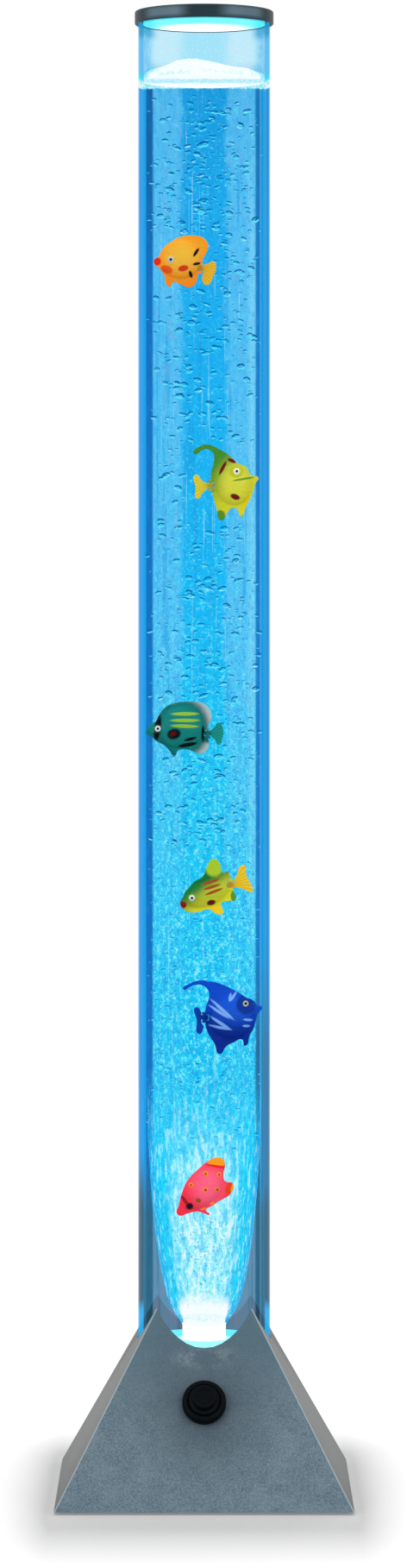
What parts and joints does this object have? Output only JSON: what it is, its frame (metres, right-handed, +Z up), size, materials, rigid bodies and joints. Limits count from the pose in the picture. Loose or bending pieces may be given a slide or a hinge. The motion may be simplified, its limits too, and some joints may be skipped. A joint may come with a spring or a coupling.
{
  "type": "bubble fish lamp",
  "caption": "Floor or table lamp: a tall clear water tube on a notched pyramid base, with an air pump, lights, bubbles and floating toy fish under a lift-off cap.",
  "frame": {"origin": "on the ground under the middle of the square base", "axes": "+Z up along the tube, the front with the button faces -Y, +X to the right seen from the front"},
  "size_m": [0.1764, 0.1764, 0.8901],
  "materials": {
    "slate_paint": "fine metallic speckled paint",
    "black_plastic": "matt moulded",
    "black_rubber": "matt",
    "screw_steel": "zinc plated",
    "clear_acrylic": "clear polished acrylic",
    "clear_floor": "clear moulded",
    "seal_rubber": "matt",
    "white_plastic": "matt moulded",
    "dark_cap": "satin",
    "cap_white": "matt moulded",
    "nozzle_grey": "moulded",
    "nut_brass": "turned",
    "stone_grey": "porous",
    "white_board": "solder mask",
    "led_lens": "clear epoxy",
    "pump_plastic": "matt moulded",
    "grey_foam": "foam",
    "copper_winding": "enamelled wire",
    "core_iron": "laminated",
    "arm_steel": "stamped",
    "magnet_nickel": "nickel plated",
    "valve_plastic": "moulded",
    "diaphragm_rubber": "matt",
    "silicone_hose": "translucent silicone",
    "valve_white": "moulded",
    "board_green": "solder mask",
    "wire_red": "sleeve",
    "wire_black": "sleeve",
    "wire_grey": "sleeve",
    "button_black": "satin",
    "switch_plastic": "moulded",
    "spring_steel": "bright",
    "jack_black": "moulded",
    "jack_steel": "plated",
    "orange_skin": "painted plastic",
    "orange_tail_skin": "translucent plastic",
    "green_skin": "painted plastic",
    "green_tail_skin": "translucent plastic",
    "teal_skin": "painted plastic",
    "teal_tail_skin": "translucent plastic",
    "lime_skin": "painted plastic",
    "lime_tail_skin": "translucent plastic",
    "blue_skin": "painted plastic",
    "blue_tail_skin": "translucent plastic",
    "pink_skin": "painted plastic"
  },
  "bodies": {
    "lamp": {"base_shell": "slate_paint", "bottom_cover": "black_plastic", "foot_front_left": "black_rubber", "foot_front_right": "black_rubber", "foot_back_left": "black_rubber", "foot_back_right": "black_rubber", "cover_screw_front_left": "screw_steel", "cover_screw_front_right": "screw_steel", "cover_screw_back_left": "screw_steel", "cover_screw_back_right": "screw_steel", "seat_screw_front_left": "screw_steel", "seat_screw_front_right": "screw_steel", "seat_screw_back_left": "screw_steel", "seat_screw_back_right": "screw_steel", "acrylic_tube": "clear_acrylic", "tube_floor": "clear_floor", "floor_seal": "seal_rubber", "tube_seat": "white_plastic", "air_nozzle": "nozzle_grey", "nozzle_nut": "nut_brass", "air_stone": "stone_grey", "led_board": "white_board", "led_1": "led_lens", "led_2": "led_lens", "led_3": "led_lens", "pump_case": "pump_plastic", "pump_lid": "pump_plastic", "pump_pad": "grey_foam", "pump_coil": "copper_winding", "pump_core": "core_iron", "pump_valve_block": "valve_plastic", "pump_diaphragm": "diaphragm_rubber", "air_hose_pump": "silicone_hose", "air_hose_nozzle": "silicone_hose", "check_valve": "valve_white", "control_board": "board_green", "jack_wire": "wire_red", "switch_wire": "wire_black", "led_wire": "wire_grey", "button_bezel": "button_black", "switch_body": "switch_plastic", "button_spring": "spring_steel", "dc_jack": "jack_black", "jack_nut": "jack_steel"},
    "cap": {"top_cap": "dark_cap", "cap_plug": "cap_white"},
    "button": {"button_cap": "button_black"},
    "pump_arm": {"pump_arm": "arm_steel", "pump_magnet": "magnet_nickel"},
    "orange_fish": {"orange_fish_body": "orange_skin"},
    "orange_fish_tail": {"orange_fish_tail": "orange_tail_skin"},
    "green_fish": {"green_fish_body": "green_skin"},
    "green_fish_tail": {"green_fish_tail": "green_tail_skin"},
    "teal_fish": {"teal_fish_body": "teal_skin"},
    "teal_fish_tail": {"teal_fish_tail": "teal_tail_skin"},
    "lime_fish": {"lime_fish_body": "lime_skin"},
    "lime_fish_tail": {"lime_fish_tail": "lime_tail_skin"},
    "blue_fish": {"blue_fish_body": "blue_skin"},
    "blue_fish_tail": {"blue_fish_tail": "blue_tail_skin"},
    "pink_fish": {"pink_fish_body": "pink_skin"}
  },
  "joints": [
    {"name": "cap_lift", "type": "slide", "parent": "lamp", "child": "cap", "axis": [0, 0, 1], "range_m": [0, 0.08]},
    {"name": "button_press", "type": "slide", "parent": "lamp", "child": "button", "axis": [0, 0.8804, -0.4742], "range_m": [0, 0.0025], "stiffness_N_per_m": 400, "deforming": ["button_spring"]},
    {"name": "pump_arm_swing", "type": "hinge", "parent": "lamp", "child": "pump_arm", "pos_m": [-0.049, 0, 0.0184], "axis": [0, 0, 1], "range_deg": [-3, 3], "stiffness_Nm_per_rad": 0.02, "deforming": ["pump_diaphragm"]},
    {"name": "orange_fish_float", "type": "slide", "parent": "lamp", "child": "orange_fish", "axis": [0, 0, 1], "range_m": [-0.046, 0.088]},
    {"name": "orange_fish_tail_swing", "type": "hinge", "parent": "orange_fish", "child": "orange_fish_tail", "pos_m": [-0.00286, 0, 0.73535], "axis": [0, 0, 1], "range_deg": [-25, 25]},
    {"name": "green_fish_float", "type": "slide", "parent": "lamp", "child": "green_fish", "axis": [0, 0, 1], "range_m": [-0.053, 0.046]},
    {"name": "green_fish_tail_swing", "type": "hinge", "parent": "green_fish", "child": "green_fish_tail", "pos_m": [0.00414, 0, 0.6043], "axis": [0, 0, 1], "range_deg": [-25, 25]},
    {"name": "teal_fish_float", "type": "slide", "parent": "lamp", "child": "teal_fish", "axis": [0, 0, 1], "range_m": [-0.03, 0.053]},
    {"name": "teal_fish_tail_swing", "type": "hinge", "parent": "teal_fish", "child": "teal_fish_tail", "pos_m": [0.00189, 0, 0.45501], "axis": [0, 0, 1], "range_deg": [-25, 25]},
    {"name": "lime_fish_float", "type": "slide", "parent": "lamp", "child": "lime_fish", "axis": [0, 0, 1], "range_m": [-0.0185, 0.03]},
    {"name": "lime_fish_tail_swing", "type": "hinge", "parent": "lime_fish", "child": "lime_fish_tail", "pos_m": [0.01564, 0, 0.36353], "axis": [0, 0, 1], "range_deg": [-25, 25]},
    {"name": "blue_fish_float", "type": "slide", "parent": "lamp", "child": "blue_fish", "axis": [0, 0, 1], "range_m": [-0.03, 0.0185]},
    {"name": "blue_fish_tail_swing", "type": "hinge", "parent": "blue_fish", "child": "blue_fish_tail", "pos_m": [0.00058, 0, 0.28358], "axis": [0, 0, 1], "range_deg": [-25, 25]},
    {"name": "pink_fish_float", "type": "slide", "parent": "lamp", "child": "pink_fish", "axis": [0, 0, 1], "range_m": [-0.06, 0.03]}
  ]
}
